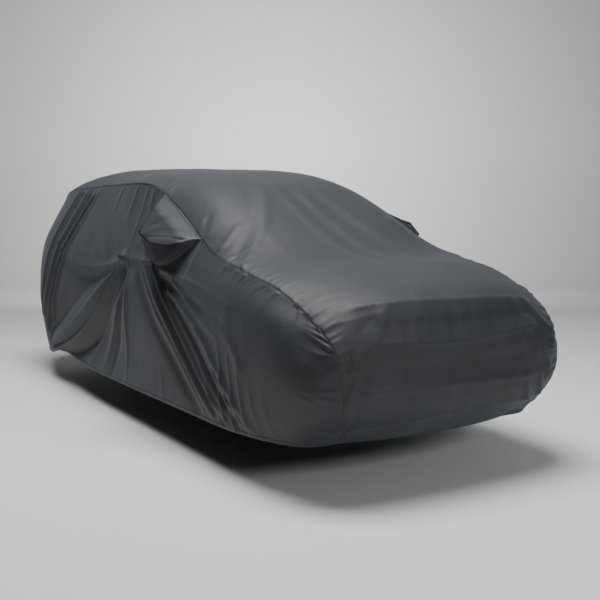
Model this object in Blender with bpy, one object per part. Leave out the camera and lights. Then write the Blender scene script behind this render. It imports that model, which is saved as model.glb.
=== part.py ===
"""Fitted car cover, worn: a nose-to-tail centre panel, two side panels and two mirror pockets.

Metres. +X is the car's front, +Y its left, +Z up. Tables hold heights above the ground and distances
ahead of the front axle; car_to_part() moves them to the origin, which is the roof seat under the roof.
"""

import itertools
import math

import bpy
import numpy as np

# ---- driving sizes ---------------------------------------------------------------------------------
CLOTH = 0.003            # thickness of the sheet
SEAM_GAP = 0.0003        # each piece stops this far short of the seam line
POCKET_GAP = 0.0012      # the pocket's edge stops this far short of the opening it is sewn into
SEAT_AHEAD = -1.60       # roof seat, ahead of the front axle (negative is behind)
SEAT_HEIGHT = 1.728      # roof seat above the ground, on the underside of the cloth
MIRROR_REACH = 1.075     # half width over the mirror pockets
CELLS_ACROSS = 10        # centre panel, seam to seam
CLOTH_COLOUR = (0.060, 0.066, 0.078)
CLOTH_ROUGHNESS = 0.72

# What holds the cloth out over a mirror, as (ahead, height, share of MIRROR_REACH); the rest is its foot,
# round which the tent meets the side and the pillar seam. The foot is convex.
MIRROR_POLES = (
    # name, ahead, height, share
    ("tip", -0.800, 1.320, 1.00),
    ("housing top", -0.730, 1.315, 0.84),
    ("housing rim", -0.690, 1.262, 0.92),
    ("rim middle", -0.620, 1.246, 0.60),
    ("rim front", -0.580, 1.247, 0.16),
    ("housing foot", -0.895, 1.168, 0.58),
    ("housing foot middle", -0.840, 1.150, 0.45),
    ("housing foot front", -0.800, 1.142, 0.30),
    ("roof", -1.205, 1.556, 0.0),
    ("seam high", -1.000, 1.483, 0.0),
    ("seam middle", -0.850, 1.428, 0.0),
    ("seam low", -0.532, 1.290, 0.0),
    ("front foot", -0.560, 1.242, 0.0),
    ("front foot low", -0.690, 1.165, 0.0),
    ("under foot", -0.800, 1.115, 0.0),
    ("under foot rear", -0.930, 1.098, 0.0),
    ("rear foot low", -1.090, 1.130, 0.0),
    ("rear foot", -1.165, 1.260, 0.0),
    ("rear foot high", -1.210, 1.440, 0.0),
)

# One row per section of a side panel, front seam to rear seam. Each rail is (ahead, half width, height).
# "cells" is how many cells run from this section to the next.
SIDE_SECTIONS = (
    # name, cells, hem, low, waist, belt, seam
    ("front seam", 2, (0.700, 0.550, 0.268), (0.885, 0.680, 0.440), (0.925, 0.727, 0.660), (0.905, 0.750, 0.800), (0.810, 0.776, 0.900)),
    ("front corner", 2, (0.680, 0.735, 0.265), (0.805, 0.805, 0.440), (0.840, 0.855, 0.640), (0.785, 0.818, 0.850), (0.700, 0.787, 0.962)),
    ("wing", 2, (0.560, 0.830, 0.262), (0.640, 0.895, 0.440), (0.660, 0.925, 0.660), (0.620, 0.890, 0.880), (0.560, 0.794, 1.022)),
    ("wheel front", 3, (0.360, 0.915, 0.268), (0.400, 0.945, 0.450), (0.420, 0.945, 0.680), (0.410, 0.910, 0.920), (0.400, 0.803, 1.078)),
    ("front axle", 4, (0.050, 0.945, 0.260), (0.050, 0.960, 0.460), (0.050, 0.950, 0.720), (0.050, 0.915, 0.980), (0.050, 0.814, 1.145)),
    ("wheel rear", 3, (-0.350, 0.950, 0.255), (-0.350, 0.940, 0.460), (-0.350, 0.935, 0.740), (-0.350, 0.905, 1.020), (-0.350, 0.792, 1.213)),
    ("pillar low", 5, (-0.600, 0.950, 0.252), (-0.600, 0.930, 0.470), (-0.600, 0.930, 0.760), (-0.600, 0.900, 1.060), (-0.600, 0.770, 1.318)),
    ("pillar middle", 5, (-0.850, 0.950, 0.248), (-0.850, 0.925, 0.470), (-0.850, 0.930, 0.770), (-0.850, 0.895, 1.080), (-0.850, 0.742, 1.425)),
    ("pillar high", 3, (-1.150, 0.950, 0.243), (-1.150, 0.925, 0.470), (-1.150, 0.930, 0.770), (-1.150, 0.885, 1.100), (-1.150, 0.720, 1.535)),
    ("roof front", 4, (-1.420, 0.950, 0.240), (-1.420, 0.925, 0.470), (-1.420, 0.930, 0.770), (-1.430, 0.880, 1.120), (-1.450, 0.715, 1.624)),
    ("roof middle", 3, (-2.100, 0.950, 0.238), (-2.100, 0.925, 0.470), (-2.100, 0.930, 0.770), (-2.100, 0.880, 1.120), (-2.100, 0.705, 1.624)),
    ("rear axle", 3, (-2.840, 0.945, 0.270), (-2.840, 0.940, 0.470), (-2.840, 0.930, 0.760), (-2.840, 0.880, 1.120), (-2.840, 0.680, 1.602)),
    ("rear quarter", 3, (-3.150, 0.925, 0.215), (-3.330, 0.925, 0.460), (-3.380, 0.920, 0.740), (-3.340, 0.865, 1.120), (-3.220, 0.665, 1.585)),
    ("rear corner", 3, (-3.450, 0.855, 0.200), (-3.660, 0.850, 0.460), (-3.700, 0.860, 0.720), (-3.660, 0.815, 1.120), (-3.440, 0.655, 1.555)),
    ("rear seam", 0, (-3.660, 0.660, 0.235), (-3.840, 0.720, 0.460), (-3.860, 0.735, 0.720), (-3.800, 0.720, 1.120), (-3.560, 0.655, 1.480)),
)
RAIL_CELLS = (3, 3, 3, 7)          # hem to low, low to waist, waist to belt, belt to seam
RAIL_AT = (0.0, 0.20, 0.45, 0.72, 1.0)
POCKET_SECTIONS = (15, 27)         # sections, counted in cells from the front seam, that the pocket takes
POCKET_ROWS = (9, 16)              # rows, counted in cells from the hem

# The centre panel's middle line: one row per point of the seam, nose to tail.
CENTRE_LINE = (
    # name, ahead, height, squareness of the section towards its edges
    ("front hem", 0.755, 0.262, 2.6),
    ("front low", 0.960, 0.430, 2.8),
    ("front waist", 0.990, 0.640, 3.0),
    ("front belt", 0.978, 0.840, 3.0),
    ("front seam", 0.930, 0.985, 3.0),
    ("front corner", 0.830, 1.055, 3.4),
    ("wing", 0.640, 1.110, 3.8),
    ("wheel front", 0.440, 1.150, 4.0),
    ("front axle", 0.090, 1.212, 4.4),
    ("wheel rear", -0.240, 1.365, 5.0),
    ("pillar low", -0.545, 1.515, 5.0),
    ("pillar middle", -0.815, 1.620, 5.0),
    ("pillar high", -1.130, 1.692, 4.4),
    ("roof front", -1.460, 1.727, 3.4),
    ("roof middle", -2.100, 1.745, 2.6),
    ("rear axle", -2.840, 1.752, 2.5),
    ("rear quarter", -3.240, 1.745, 2.5),
    ("rear corner", -3.530, 1.700, 2.6),
    ("rear seam", -3.680, 1.560, 2.8),
    ("rear belt", -3.870, 1.140, 3.0),
    ("rear waist", -3.935, 0.740, 3.0),
    ("rear low", -3.915, 0.460, 3.0),
    ("rear hem", -3.760, 0.262, 2.8),
)

# Folds of a side panel, as ridges (+) and troughs (-) seen from the side: each runs through three
# (ahead, height) points. Its height is scaled by the two fades at its ends.
SIDE_FOLDS = (
    # name, start, middle, end, half width, height, start fade, end fade
    ("quarter crease", (-1.52, 1.12), (-2.04, 0.72), (-3.12, 0.26), 0.060, 0.050, 0.40, 1.0),
    ("trough ahead", (-1.48, 1.04), (-1.86, 0.64), (-2.80, 0.26), 0.080, -0.040, 0.20, 0.7),
    ("trough behind", (-1.72, 1.08), (-2.28, 0.82), (-3.16, 0.40), 0.080, -0.034, 0.10, 0.9),
    ("door fold", (-1.50, 1.10), (-1.62, 0.74), (-1.94, 0.28), 0.065, 0.026, 0.40, 0.5),
    ("quarter fold 1", (-2.50, 1.56), (-2.90, 1.02), (-3.26, 0.34), 0.060, 0.028, 0.50, 0.8),
    ("quarter trough", (-2.68, 1.54), (-3.06, 1.04), (-3.36, 0.44), 0.060, -0.026, 0.50, 0.5),
    ("quarter fold 2", (-2.92, 1.56), (-3.22, 1.10), (-3.46, 0.52), 0.060, 0.024, 0.50, 0.5),
    ("window foot rear", (-3.05, 1.12), (-2.27, 1.00), (-1.52, 1.12), 0.055, 0.020, 0.40, 0.9),
    ("window foot front", (-1.52, 1.12), (-1.17, 1.10), (-0.92, 1.06), 0.050, 0.018, 0.90, 0.6),
    ("mirror trough rear", (-1.24, 1.02), (-0.78, 0.66), (-0.22, 0.32), 0.065, -0.034, 0.30, 0.8),
    ("mirror fold 1", (-1.08, 1.08), (-0.54, 0.69), (0.06, 0.31), 0.060, 0.044, 0.50, 0.9),
    ("mirror trough front", (-0.88, 1.04), (-0.34, 0.68), (0.26, 0.30), 0.055, -0.032, 0.50, 0.9),
    ("mirror fold 2", (-0.74, 0.98), (-0.12, 0.69), (0.44, 0.30), 0.050, 0.032, 0.60, 0.9),
    ("wing shelf", (-0.84, 1.06), (-0.34, 1.01), (0.10, 0.94), 0.050, 0.026, 0.70, 0.2),
    ("arch", (-0.28, 0.76), (0.06, 0.81), (0.30, 0.62), 0.060, 0.020, 0.20, 0.3),
)

# Folds of the centre panel, seen along the cloth: (along, across) in metres, where along runs from the
# front hem over the middle line, and across is towards the car's left.
TOP_FOLDS = (
    # name, start, middle, end, half width, height, start fade, end fade
    ("bonnet lip", (0.90, -0.60), (0.87, 0.00), (0.86, 0.62), 0.050, 0.020, 0.4, 0.6),
    ("grille hollow", (0.77, -0.52), (0.76, 0.00), (0.78, 0.54), 0.060, -0.018, 0.5, 0.5),
    ("grille shelf", (0.68, -0.56), (0.66, 0.00), (0.70, 0.64), 0.050, 0.020, 0.5, 0.6),
    ("bumper hollow", (0.54, -0.58), (0.54, 0.00), (0.54, 0.54), 0.070, -0.020, 0.5, 0.5),
    ("bumper shelf", (0.41, -0.66), (0.42, 0.00), (0.40, 0.66), 0.050, 0.020, 0.6, 0.6),
    ("near corner", (0.76, -0.52), (0.60, -0.60), (0.30, -0.66), 0.060, -0.022, 0.4, 0.6),
    ("far corner", (0.78, 0.46), (0.52, 0.58), (0.28, 0.66), 0.060, 0.020, 0.4, 0.8),
    ("windscreen 1", (2.74, -0.09), (2.05, -0.15), (1.45, 0.00), 0.085, 0.018, 0.4, 0.3),
    ("windscreen valley", (2.60, 0.12), (2.10, 0.10), (1.60, 0.22), 0.085, -0.018, 0.3, 0.3),
    ("windscreen 2", (2.72, 0.34), (2.30, 0.34), (1.90, 0.46), 0.085, 0.018, 0.4, 0.4),
    ("pillar sweep", (2.74, -0.22), (2.12, -0.48), (1.72, -0.76), 0.075, 0.022, 0.3, 0.6),
    ("pillar sweep valley", (2.76, -0.40), (2.34, -0.58), (1.94, -0.78), 0.065, -0.018, 0.3, 0.5),
)


# ---- curves and folds ------------------------------------------------------------------------------
def through(points, at, where):
    """A smooth curve that passes each point at its own parameter, read at every value in where."""
    points, at, where = np.asarray(points, float), np.asarray(at, float), np.asarray(where, float)
    slope = np.empty_like(points)
    slope[1:-1] = (points[2:] - points[:-2]) / (at[2:] - at[:-2])[:, None]
    slope[0] = (points[1] - points[0]) / (at[1] - at[0])
    slope[-1] = (points[-1] - points[-2]) / (at[-1] - at[-2])
    bay = np.clip(np.searchsorted(at, where, side="right") - 1, 0, len(at) - 2)
    step = (at[bay + 1] - at[bay])[:, None]
    t = (where[:, None] - at[bay][:, None]) / step
    return (
        (1 + 2 * t) * (1 - t) ** 2 * points[bay]
        + t * (1 - t) ** 2 * step * slope[bay]
        + t**2 * (3 - 2 * t) * points[bay + 1]
        + t**2 * (t - 1) * step * slope[bay + 1]
    )


def steps(cells, stops):
    """Evenly divided bays: the value of each stop, with cells[i] steps from stop i to stop i + 1."""
    out = [stops[0]]
    for count, low, high in zip(cells, stops[:-1], stops[1:]):
        out.extend(low + (high - low) * (k + 1) / count for k in range(count))
    return np.array(out)


def fold_height(folds, a, b):
    """Sum of a table's folds at each place (a, b): rounded crests that fall off evenly."""
    total = np.zeros_like(a)
    for _, start, middle, end, half_width, height, first, last in folds:
        run = math.dist(start, end)
        ta, tb = (end[0] - start[0]) / run, (end[1] - start[1]) / run
        at = ((middle[0] - start[0]) * ta + (middle[1] - start[1]) * tb) / run
        bow = (-(middle[0] - start[0]) * tb + (middle[1] - start[1]) * ta) / (at * (1 - at))
        along = ((a - start[0]) * ta + (b - start[1]) * tb) / run
        inside = np.clip(along, 0, 1)
        off = -(a - start[0]) * tb + (b - start[1]) * ta - bow * inside * (1 - inside)
        beyond = (along - inside) * run
        far = np.sqrt(off**2 + beyond**2) / half_width
        crest = np.exp(-(far**2))
        total += height * (first + (last - first) * inside) * crest
    return total


def stretched_over(poles):
    """The planes of cloth pulled tight over the poles: at any place the lowest of them is the cloth."""
    tops = np.array([row[1:] for row in poles])
    spots = np.column_stack([tops[:, :2], np.ones(len(tops))])
    planes = []
    for three in itertools.combinations(range(len(tops)), 3):
        three = list(three)
        if abs(np.linalg.det(spots[three])) > 1e-7:
            plane = np.linalg.solve(spots[three], tops[three, 2])
            if (spots @ plane >= tops[:, 2] - 1e-6).all():
                planes.append(plane)
    return np.array(planes)


def mirror_share(ahead, height):
    """How far out over the mirror the cloth is, from 0 on the side to 1 at the tip of its tent."""
    planes = stretched_over(MIRROR_POLES)
    levels = ahead[..., None] * planes[:, 0] + height[..., None] * planes[:, 1] + planes[:, 2]
    lowest = levels.min(-1, keepdims=True)
    weight = np.exp(np.maximum(lowest - levels, -1) * 45)
    share = (levels * weight).sum(-1) / weight.sum(-1) - 0.02
    return np.clip(np.minimum(share, lowest[..., 0]), 0, 1)


def unit(vectors):
    return vectors / np.linalg.norm(vectors, axis=-1, keepdims=True)


def grid_normals(grid):
    return unit(np.cross(np.gradient(grid, axis=0), np.gradient(grid, axis=1)))


# ---- the two surfaces, as grids of points ----------------------------------------------------------
def side_grid():
    """Right side panel, outside face: [section from front to rear][row from hem to seam]."""
    rails = np.array([row[2:] for row in SIDE_SECTIONS])
    section_at = np.concatenate([[0], np.cumsum(np.linalg.norm(np.diff(rails[:, 4], axis=0), axis=1))])
    sections = steps([row[1] for row in SIDE_SECTIONS[:-1]], section_at)
    rows = steps(RAIL_CELLS, RAIL_AT)
    along = np.stack([through(rails[:, k], section_at, sections) for k in range(5)], axis=1)
    grid = np.stack([through(section, RAIL_AT, rows) for section in along])
    grid[..., 1] *= -1
    return grid


def seam_line(side):
    """The seam as the centre panel meets it: up the front edge, along the top and down the rear edge."""
    return np.concatenate([side[0, :-1], side[:, -1], side[-1, -2::-1]])


def across_share():
    """Columns of the centre panel from -1 to 1, closer together towards its seams."""
    even = np.linspace(-1, 1, CELLS_ACROSS + 1)
    return np.sign(even) * np.abs(even) ** 0.8


def centre_grid(side):
    """Centre panel, outside face: [station from front hem to rear hem][right seam to left seam]."""
    seam = seam_line(side)
    rows, sections = side.shape[1] - 1, side.shape[0]
    stops = np.cumsum([0, *RAIL_CELLS, *[row[1] for row in SIDE_SECTIONS[:-1]], *reversed(RAIL_CELLS)])
    table = np.array([row[1:] for row in CENTRE_LINE])
    middle = through(table, stops, np.arange(2 * rows + sections))
    share = across_share()
    bulge = np.abs(share)[None, :] ** middle[:, 2:3]
    grid = np.empty((len(seam), len(share), 3))
    grid[..., 0] = middle[:, 0:1] + (seam[:, 0:1] - middle[:, 0:1]) * bulge
    grid[..., 1] = np.abs(seam[:, 1:2]) * share[None, :]
    grid[..., 2] = middle[:, 1:2] + (seam[:, 2:3] - middle[:, 1:2]) * bulge
    return grid


def folded_side(side):
    normals = grid_normals(side)
    if normals[10, 5, 1] > 0:
        normals = -normals
    lift = fold_height(SIDE_FOLDS, side[..., 0], side[..., 2])
    edge = np.ones(side.shape[:2])
    edge[0, :] = edge[-1, :] = edge[:, -1] = 0
    edge[1, :] = edge[-2, :] = edge[:, -2] = 0.6
    share = mirror_share(side[..., 0], side[..., 2])
    lift *= 1 - np.clip(share * 6, 0, 1)
    out = side + normals * (lift * edge)[..., None]
    out[..., 1] -= (MIRROR_REACH + side[..., 1]) * share
    return out


def folded_centre(centre):
    normals = grid_normals(centre)
    if normals[len(centre) // 2, CELLS_ACROSS // 2, 2] < 0:
        normals = -normals
    middle = centre[:, CELLS_ACROSS // 2]
    along = np.concatenate([[0], np.cumsum(np.linalg.norm(np.diff(middle, axis=0), axis=1))])
    across = centre[..., 1]
    lift = fold_height(TOP_FOLDS, np.repeat(along[:, None], across.shape[1], axis=1), across)
    edge = np.clip((1 - np.abs(across_share())) * 6, 0, 1)
    return centre + normals * (lift * edge[None, :])[..., None]


def car_to_part(points):
    return points - np.array([SEAT_AHEAD, 0.0, SEAT_HEIGHT])


# ---- sheets as closed bodies -----------------------------------------------------------------------
def sheet(name, grid, normals, keep, inset, collection):
    """A closed sheet of CLOTH thickness from the cells of a grid where keep is true."""
    outer = car_to_part(grid + inset)
    inner = outer - normals * CLOTH
    count = grid.shape[0] * grid.shape[1]
    index = np.arange(count).reshape(grid.shape[:2])
    flat, faces, edges = outer.reshape(-1, 3), [], {}
    for i, j in zip(*np.nonzero(keep)):
        ring = (index[i, j], index[i + 1, j], index[i + 1, j + 1], index[i, j + 1])
        corner = int(math.dist(flat[ring[0]], flat[ring[2]]) > math.dist(flat[ring[1]], flat[ring[3]]))
        for three in ((corner, corner + 1, corner + 2), (corner, corner + 2, (corner + 3) % 4)):
            triangle = tuple(ring[k] for k in three)
            faces.append(triangle)
            faces.append(tuple(k + count for k in reversed(triangle)))
        for a, b in zip(ring, ring[1:] + ring[:1]):
            if (b, a) in edges:
                del edges[b, a]
            else:
                edges[a, b] = True
    faces.extend((b, a, a + count, b + count) for a, b in edges)
    points = np.concatenate([outer.reshape(-1, 3), inner.reshape(-1, 3)])
    mesh = bpy.data.meshes.new(name)
    used = sorted({int(k) for face in faces for k in face})
    renumber = {k: n for n, k in enumerate(used)}
    mesh.from_pydata([points[k] for k in used], [], [[renumber[int(k)] for k in face] for face in faces])
    mesh.materials.append(material_of(name.replace("_", " ") + " cloth", CLOTH_COLOUR, CLOTH_ROUGHNESS))
    obj = bpy.data.objects.new(name, mesh)
    collection.objects.link(obj)
    return obj


def outward(grid, toward):
    """Normals of a grid, all on the same side as the vector toward at its middle."""
    normals = grid_normals(grid)
    middle = normals[grid.shape[0] // 2, grid.shape[1] // 2]
    return normals if middle @ np.asarray(toward) > 0 else -normals


def edge_inset(grid, normals, sides, gap=SEAM_GAP):
    """Pulls the named edges of a grid back by gap, square to the edge and along the cloth."""
    inset = np.zeros_like(grid)
    for side in sides:
        edge = {"first": np.s_[0, :], "last": np.s_[-1, :], "top": np.s_[:, -1], "bottom": np.s_[:, 0]}[side]
        inner = {"first": np.s_[1, :], "last": np.s_[-2, :], "top": np.s_[:, -2], "bottom": np.s_[:, 1]}[side]
        tangent = unit(np.gradient(grid[edge], axis=0))
        square = unit(np.cross(normals[edge], tangent))
        square *= np.sign(((grid[inner] - grid[edge]) * square).sum(-1, keepdims=True))
        inset[edge] += square * gap
    return inset


def material_of(name, colour, roughness):
    material = bpy.data.materials.new(name)
    material.use_nodes = True
    shader = material.node_tree.nodes["Principled BSDF"]
    shader.inputs["Base Color"].default_value = (*colour, 1)
    shader.inputs["Roughness"].default_value = roughness
    material.diffuse_color = (*colour, 1)
    return material


def mirrored(points):
    return points * np.array([1, -1, 1])


def build():
    for obj in list(bpy.data.objects):
        bpy.data.objects.remove(obj)
    collection = bpy.data.collections.new("Car cover")
    bpy.context.scene.collection.children.link(collection)

    flat_side = side_grid()
    side = folded_side(flat_side)
    centre = folded_centre(centre_grid(side))

    side_normals = outward(side, (0, -1, 0))
    centre_normals = outward(centre, (0, 0, 1))
    seam = seam_line(side)
    seam_side = seam_line(side_normals)
    shared = unit(seam_side + centre_normals[:, 0])
    rows, sections = side.shape[1] - 1, side.shape[0]
    side_normals[0, :] = shared[: rows + 1]
    side_normals[:, -1] = shared[rows : rows + sections]
    side_normals[-1, ::-1] = shared[rows + sections - 1 :]
    centre_normals[:, 0] = shared
    centre_normals[:, -1] = mirrored(shared)
    centre[:, 0] = seam
    centre[:, -1] = mirrored(seam)

    s0, s1 = POCKET_SECTIONS
    r0, r1 = POCKET_ROWS
    hole = np.zeros((sections - 1, rows), bool)
    hole[s0:s1, r0:r1] = True
    side_inset = edge_inset(side, side_normals, ("first", "last", "top"))
    bag = side[s0 : s1 + 1, r0 : r1 + 1]
    bag_normals = side_normals[s0 : s1 + 1, r0 : r1 + 1]
    bag_inset = edge_inset(bag, bag_normals, ("first", "last", "top", "bottom"), POCKET_GAP)

    centre_inset = edge_inset(centre, centre_normals, ("top", "bottom"))
    sheet("centre_panel", centre, centre_normals, np.ones((len(centre) - 1, CELLS_ACROSS), bool), centre_inset, collection)
    for word, flip in (("right", False), ("left", True)):
        for name, grid, normals, keep, inset in (
            (f"{word}_side_panel", side, side_normals, ~hole, side_inset),
            (f"{word}_mirror_pocket", bag, bag_normals, np.ones((s1 - s0, r1 - r0), bool), bag_inset),
        ):
            if flip:
                grid, normals, inset = mirrored(grid), mirrored(normals), mirrored(inset)
            sheet(name, grid, normals, keep, inset, collection)
    for obj in collection.objects:
        face_out(obj)


def face_out(obj):
    """Turns the faces of a closed body outwards, if they point in."""
    mesh = obj.data
    mesh.calc_loop_triangles()
    co = np.array([v.co for v in mesh.vertices])
    tri = np.array([t.vertices for t in mesh.loop_triangles])
    if np.linalg.det(co[tri]).sum() < 0:
        mesh.flip_normals()


build()
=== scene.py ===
"""Looks of the fitted car cover: its five pieces of cloth with their folds, the felled seams, the hem
casing and the stitches, in a pale studio. Metres, +X the car's front, +Y its left, +Z up."""

import itertools
import math

import bmesh
import bpy
import numpy as np
from bpy.props import FloatProperty, FloatVectorProperty, IntProperty, PointerProperty
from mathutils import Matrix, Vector


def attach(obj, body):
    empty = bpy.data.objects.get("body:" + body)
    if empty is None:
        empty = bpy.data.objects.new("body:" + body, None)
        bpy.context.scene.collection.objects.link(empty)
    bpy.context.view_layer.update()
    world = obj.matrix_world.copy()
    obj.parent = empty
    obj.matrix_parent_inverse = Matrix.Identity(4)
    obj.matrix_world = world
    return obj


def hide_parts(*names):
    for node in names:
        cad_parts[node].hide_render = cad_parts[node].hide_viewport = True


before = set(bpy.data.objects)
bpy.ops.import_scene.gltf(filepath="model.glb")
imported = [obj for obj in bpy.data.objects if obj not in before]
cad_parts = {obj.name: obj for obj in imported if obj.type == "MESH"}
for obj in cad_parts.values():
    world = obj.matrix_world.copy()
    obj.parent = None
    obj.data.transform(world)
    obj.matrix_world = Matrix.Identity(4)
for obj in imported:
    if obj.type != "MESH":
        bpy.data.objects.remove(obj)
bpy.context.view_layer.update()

bl_info = {
    "name": "Car Cover",
    "version": (1, 0, 0),
    "blender": (4, 5, 0),
    "location": "View3D > Sidebar > Car Cover",
    "description": "Builds a worn car cover: cloth panels, mirror pockets, seams, hem and stitches",
    "category": "Add Mesh",
}

# ---- the pattern ----------------------------------------------------------------------------------
# Heights are above the ground and "ahead" is ahead of the front axle; car_to_part() moves both to the
# roof seat, which is the origin.
SEAT_AHEAD = -1.60
SEAT_HEIGHT = 1.728
MIRROR_REACH = 1.075

# What holds the cloth out over a mirror, as (ahead, height, share of MIRROR_REACH); the rest is its foot,
# round which the tent meets the side and the pillar seam. The foot is convex.
MIRROR_POLES = (
    # name, ahead, height, share
    ("tip", -0.8, 1.32, 1),
    ("housing top", -0.73, 1.315, 0.84),
    ("housing rim", -0.69, 1.262, 0.92),
    ("rim middle", -0.62, 1.246, 0.6),
    ("rim front", -0.58, 1.247, 0.16),
    ("housing foot", -0.895, 1.168, 0.58),
    ("housing foot middle", -0.84, 1.15, 0.45),
    ("housing foot front", -0.8, 1.142, 0.3),
    ("roof", -1.205, 1.556, 0),
    ("seam high", -1, 1.483, 0),
    ("seam middle", -0.85, 1.428, 0),
    ("seam low", -0.532, 1.29, 0),
    ("front foot", -0.56, 1.242, 0),
    ("front foot low", -0.69, 1.165, 0),
    ("under foot", -0.8, 1.115, 0),
    ("under foot rear", -0.93, 1.098, 0),
    ("rear foot low", -1.09, 1.13, 0),
    ("rear foot", -1.165, 1.26, 0),
    ("rear foot high", -1.21, 1.44, 0),
)

# One row per section of a side panel, front seam to rear seam. Each rail is (ahead, half width, height).
SIDE_SECTIONS = (
    # name, hem, low, waist, belt, seam
    ("front seam", (0.7, 0.55, 0.268), (0.885, 0.68, 0.44), (0.925, 0.727, 0.66),
     (0.905, 0.75, 0.8), (0.81, 0.776, 0.9)),
    ("front corner", (0.68, 0.735, 0.265), (0.805, 0.805, 0.44), (0.84, 0.855, 0.64),
     (0.785, 0.818, 0.85), (0.7, 0.787, 0.962)),
    ("wing", (0.56, 0.83, 0.262), (0.64, 0.895, 0.44), (0.66, 0.925, 0.66),
     (0.62, 0.89, 0.88), (0.56, 0.794, 1.022)),
    ("wheel front", (0.36, 0.915, 0.268), (0.4, 0.945, 0.45), (0.42, 0.945, 0.68),
     (0.41, 0.91, 0.92), (0.4, 0.803, 1.078)),
    ("front axle", (0.05, 0.945, 0.26), (0.05, 0.96, 0.46), (0.05, 0.95, 0.72),
     (0.05, 0.915, 0.98), (0.05, 0.814, 1.145)),
    ("wheel rear", (-0.35, 0.95, 0.255), (-0.35, 0.94, 0.46), (-0.35, 0.935, 0.74),
     (-0.35, 0.905, 1.02), (-0.35, 0.792, 1.213)),
    ("pillar low", (-0.6, 0.95, 0.252), (-0.6, 0.93, 0.47), (-0.6, 0.93, 0.76),
     (-0.6, 0.9, 1.06), (-0.6, 0.77, 1.318)),
    ("pillar middle", (-0.85, 0.95, 0.248), (-0.85, 0.925, 0.47), (-0.85, 0.93, 0.77),
     (-0.85, 0.895, 1.08), (-0.85, 0.742, 1.425)),
    ("pillar high", (-1.15, 0.95, 0.243), (-1.15, 0.925, 0.47), (-1.15, 0.93, 0.77),
     (-1.15, 0.885, 1.1), (-1.15, 0.72, 1.535)),
    ("roof front", (-1.42, 0.95, 0.24), (-1.42, 0.925, 0.47), (-1.42, 0.93, 0.77),
     (-1.43, 0.88, 1.12), (-1.45, 0.715, 1.624)),
    ("roof middle", (-2.1, 0.95, 0.238), (-2.1, 0.925, 0.47), (-2.1, 0.93, 0.77),
     (-2.1, 0.88, 1.12), (-2.1, 0.705, 1.624)),
    ("rear axle", (-2.84, 0.945, 0.27), (-2.84, 0.94, 0.47), (-2.84, 0.93, 0.76),
     (-2.84, 0.88, 1.12), (-2.84, 0.68, 1.602)),
    ("rear quarter", (-3.15, 0.925, 0.215), (-3.33, 0.925, 0.46), (-3.38, 0.92, 0.74),
     (-3.34, 0.865, 1.12), (-3.22, 0.665, 1.585)),
    ("rear corner", (-3.45, 0.855, 0.2), (-3.66, 0.85, 0.46), (-3.7, 0.86, 0.72),
     (-3.66, 0.815, 1.12), (-3.44, 0.655, 1.555)),
    ("rear seam", (-3.66, 0.66, 0.235), (-3.84, 0.72, 0.46), (-3.86, 0.735, 0.72),
     (-3.8, 0.72, 1.12), (-3.56, 0.655, 1.48)),
)
SECTION_CELLS = (2, 2, 2, 3, 4, 3, 5, 5, 3, 4, 3, 3, 3, 3)  # how the pattern counts its sections
RAIL_AT = (0.0, 0.20, 0.45, 0.72, 1.0)
POCKET_SECTIONS = (15, 27)
POCKET_ROW = 0.72          # the pocket runs from this share of the height up to the seam

# The centre panel's middle line: one row per point of the seam, nose to tail.
CENTRE_LINE = (
    # name, ahead, height, squareness of the section towards its edges
    ("front hem", 0.755, 0.262, 2.6),
    ("front low", 0.96, 0.43, 2.8),
    ("front waist", 0.99, 0.64, 3),
    ("front belt", 0.978, 0.84, 3),
    ("front seam", 0.93, 0.985, 3),
    ("front corner", 0.83, 1.055, 3.4),
    ("wing", 0.64, 1.11, 3.8),
    ("wheel front", 0.44, 1.15, 4),
    ("front axle", 0.09, 1.212, 4.4),
    ("wheel rear", -0.24, 1.365, 5),
    ("pillar low", -0.545, 1.515, 5),
    ("pillar middle", -0.815, 1.62, 5),
    ("pillar high", -1.13, 1.692, 4.4),
    ("roof front", -1.46, 1.727, 3.4),
    ("roof middle", -2.1, 1.745, 2.6),
    ("rear axle", -2.84, 1.752, 2.5),
    ("rear quarter", -3.24, 1.745, 2.5),
    ("rear corner", -3.53, 1.7, 2.6),
    ("rear seam", -3.68, 1.56, 2.8),
    ("rear belt", -3.87, 1.14, 3),
    ("rear waist", -3.935, 0.74, 3),
    ("rear low", -3.915, 0.46, 3),
    ("rear hem", -3.76, 0.262, 2.8),
)

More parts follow.
